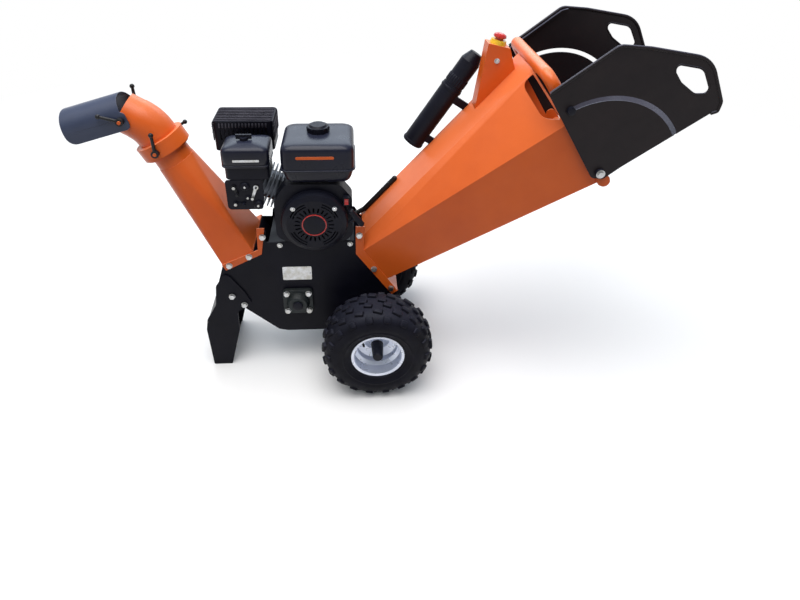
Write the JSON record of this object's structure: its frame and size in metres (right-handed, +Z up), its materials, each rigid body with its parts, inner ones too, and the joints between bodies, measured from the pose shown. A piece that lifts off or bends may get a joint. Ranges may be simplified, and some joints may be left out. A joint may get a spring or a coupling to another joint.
{
  "type": "garden shredder",
  "caption": "Two-wheeled petrol wood chipper with a feed hopper, folding feed tray, swivelling discharge chute with tilting hood, and a belt-driven rotor.",
  "frame": {"origin": "on the ground under the middle of the whole machine's box", "axes": "+X towards the feed end, +Z up, +Y to the far side with the belt drive"},
  "size_m": [1.7793, 0.5822, 1.1425],
  "materials": {
    "orange_paint": "gloss orange powder coat",
    "black_paint": "black powder coat",
    "tray_paint": "charcoal textured powder coat",
    "hood_paint": "slate black powder coat",
    "tyre_rubber": "matt black",
    "belt_rubber": "matt black",
    "rim_paint": "silver paint",
    "bare_steel": "zinc plated",
    "knife_steel": "ground steel",
    "dark_steel": "dark heated steel",
    "cast_iron": "as cast",
    "cast_aluminium": "as cast",
    "engine_black": "gloss black",
    "black_plastic": "moulded, satin",
    "lever_plastic": "moulded, satin",
    "yellow_plastic": "moulded, gloss",
    "red_plastic": "moulded, gloss"
  },
  "bodies": {
    "frame": {"side_plate_near": "black_paint", "side_plate_far": "black_paint", "rotor_shroud": "black_paint", "bed_knife": "knife_steel", "engine_deck": "black_paint", "axle": "bare_steel", "axle_caps": "black_plastic", "front_leg": "black_paint", "frame_bolts": "bare_steel", "bearing_units": "cast_iron", "chute": "orange_paint", "hopper": "orange_paint", "mouth_hoop": "orange_paint", "hinge_tube": "orange_paint", "stop_box": "orange_paint", "stop_base": "yellow_plastic", "document_tube": "black_plastic", "stop_cable": "belt_rubber", "crankcase": "cast_aluminium", "cylinder_block": "cast_aluminium", "muffler": "dark_steel", "muffler_guard": "black_paint", "filter_base": "black_plastic", "filter_cover": "black_plastic", "carburettor": "cast_aluminium", "control_plate": "engine_black", "fuel_tank": "engine_black", "blower_cover": "engine_black", "recoil_cover": "engine_black", "belt_guard": "black_paint", "drive_belts": "belt_rubber"},
    "wheel_near": {"tyre_near": "tyre_rubber", "rim_near": "rim_paint"},
    "wheel_far": {"tyre_far": "tyre_rubber", "rim_far": "rim_paint"},
    "rotor": {"rotor_shaft": "bare_steel", "rotor_drum": "dark_steel", "rotor_knives": "knife_steel", "rotor_pulley": "cast_iron"},
    "crank": {"crankshaft": "bare_steel", "engine_pulley": "cast_iron", "cooling_fan": "black_plastic"},
    "elbow": {"elbow": "orange_paint"},
    "hood": {"deflector_hood": "hood_paint"},
    "collar_lever_near": {"collar_lever_near": "lever_plastic"},
    "collar_lever_far": {"collar_lever_far": "lever_plastic"},
    "hood_lever_near": {"hood_lever_near": "lever_plastic"},
    "hood_lever_far": {"hood_lever_far": "lever_plastic"},
    "tray": {"tray_near": "tray_paint", "tray_far": "tray_paint", "tray_floor": "tray_paint"},
    "stop_button": {"stop_button": "red_plastic"},
    "tube_lid": {"tube_lid": "black_plastic"},
    "fuel_cap": {"fuel_cap": "black_plastic"},
    "filter_knob": {"filter_knob": "black_plastic"},
    "throttle_lever": {"throttle_lever": "bare_steel"},
    "choke_lever": {"choke_lever": "bare_steel"},
    "fuel_lever": {"fuel_lever": "black_plastic"},
    "engine_switch": {"engine_switch": "red_plastic"},
    "starter_grip": {"starter_grip": "black_plastic"}
  },
  "joints": [
    {"name": "wheel_near_spin", "type": "hinge", "parent": "frame", "child": "wheel_near", "pos_m": [-0.0025, -0.219, 0.178], "axis": [0, 1, 0], "continuous": true},
    {"name": "wheel_far_spin", "type": "hinge", "parent": "frame", "child": "wheel_far", "pos_m": [-0.0025, 0.219, 0.178], "axis": [0, 1, 0], "continuous": true},
    {"name": "rotor_spin", "type": "hinge", "parent": "frame", "child": "rotor", "pos_m": [-0.2565, 0, 0.275], "axis": [0, 1, 0], "continuous": true},
    {"name": "crank_spin", "type": "hinge", "parent": "frame", "child": "crank", "pos_m": [-0.1885, 0, 0.588], "axis": [0, 1, 0], "continuous": true},
    {"name": "elbow_swivel", "type": "hinge", "parent": "frame", "child": "elbow", "pos_m": [-0.44822, 0, 0.44261], "axis": [-0.454, 0, 0.891], "continuous": true},
    {"name": "hood_tilt", "type": "hinge", "parent": "elbow", "child": "hood", "pos_m": [-0.7095, 0, 0.89], "axis": [0, 1, 0], "range_deg": [-25, 45]},
    {"name": "collar_lever_near_turn", "type": "hinge", "parent": "elbow", "child": "collar_lever_near", "pos_m": [-0.62845, -0.081, 0.79634], "axis": [0, 1, 0], "range_deg": [-60, 60]},
    {"name": "collar_lever_far_turn", "type": "hinge", "parent": "elbow", "child": "collar_lever_far", "pos_m": [-0.62845, 0.081, 0.79634], "axis": [0, 1, 0], "range_deg": [-60, 60]},
    {"name": "hood_lever_near_turn", "type": "hinge", "parent": "hood", "child": "hood_lever_near", "pos_m": [-0.7095, -0.0715, 0.89], "axis": [0, 1, 0], "range_deg": [-60, 60]},
    {"name": "hood_lever_far_turn", "type": "hinge", "parent": "hood", "child": "hood_lever_far", "pos_m": [-0.7095, 0.0715, 0.89], "axis": [0, 1, 0], "range_deg": [-60, 60]},
    {"name": "tray_fold", "type": "hinge", "parent": "frame", "child": "tray", "pos_m": [0.60548, 0, 0.79332], "axis": [0, -1, 0], "range_deg": [0, 80]},
    {"name": "stop_press", "type": "slide", "parent": "frame", "child": "stop_button", "axis": [-0.2137, 0, -0.9769], "range_m": [0, 0.004], "stiffness_N_per_m": 900, "springref_m": -0.002},
    {"name": "tube_lid_turn", "type": "hinge", "parent": "frame", "child": "tube_lid", "pos_m": [0.11955, 0.094, 0.74702], "axis": [0.5346, 0, 0.8451], "range_deg": [0, 90]},
    {"name": "fuel_cap_turn", "type": "hinge", "parent": "frame", "child": "fuel_cap", "pos_m": [-0.1715, -0.026, 0.84], "axis": [0, 0, 1], "range_deg": [0, 90]},
    {"name": "filter_knob_turn", "type": "hinge", "parent": "frame", "child": "filter_knob", "pos_m": [-0.3765, -0.084, 0.84], "axis": [0, 0, 1], "continuous": true},
    {"name": "throttle_turn", "type": "hinge", "parent": "frame", "child": "throttle_lever", "pos_m": [-0.3485, -0.134, 0.714], "axis": [0, -1, 0], "range_deg": [0, 50]},
    {"name": "choke_turn", "type": "hinge", "parent": "frame", "child": "choke_lever", "pos_m": [-0.4105, -0.134, 0.714], "axis": [0, -1, 0], "range_deg": [0, 35]},
    {"name": "fuel_turn", "type": "hinge", "parent": "frame", "child": "fuel_lever", "pos_m": [-0.4105, -0.134, 0.66], "axis": [0, -1, 0], "range_deg": [0, 80]},
    {"name": "switch_rock", "type": "hinge", "parent": "frame", "child": "engine_switch", "pos_m": [-0.0925, -0.117, 0.654], "axis": [1, 0, 0], "range_deg": [0, 15]},
    {"name": "starter_pull", "type": "slide", "parent": "frame", "child": "starter_grip", "axis": [0.8192, 0, 0.5736], "range_m": [0, 0.12], "stiffness_N_per_m": 60, "springref_m": -0.03}
  ],
  "couplings": [
    {"joint": "crank_spin", "follows": "rotor_spin", "ratio": 1.4146}
  ]
}
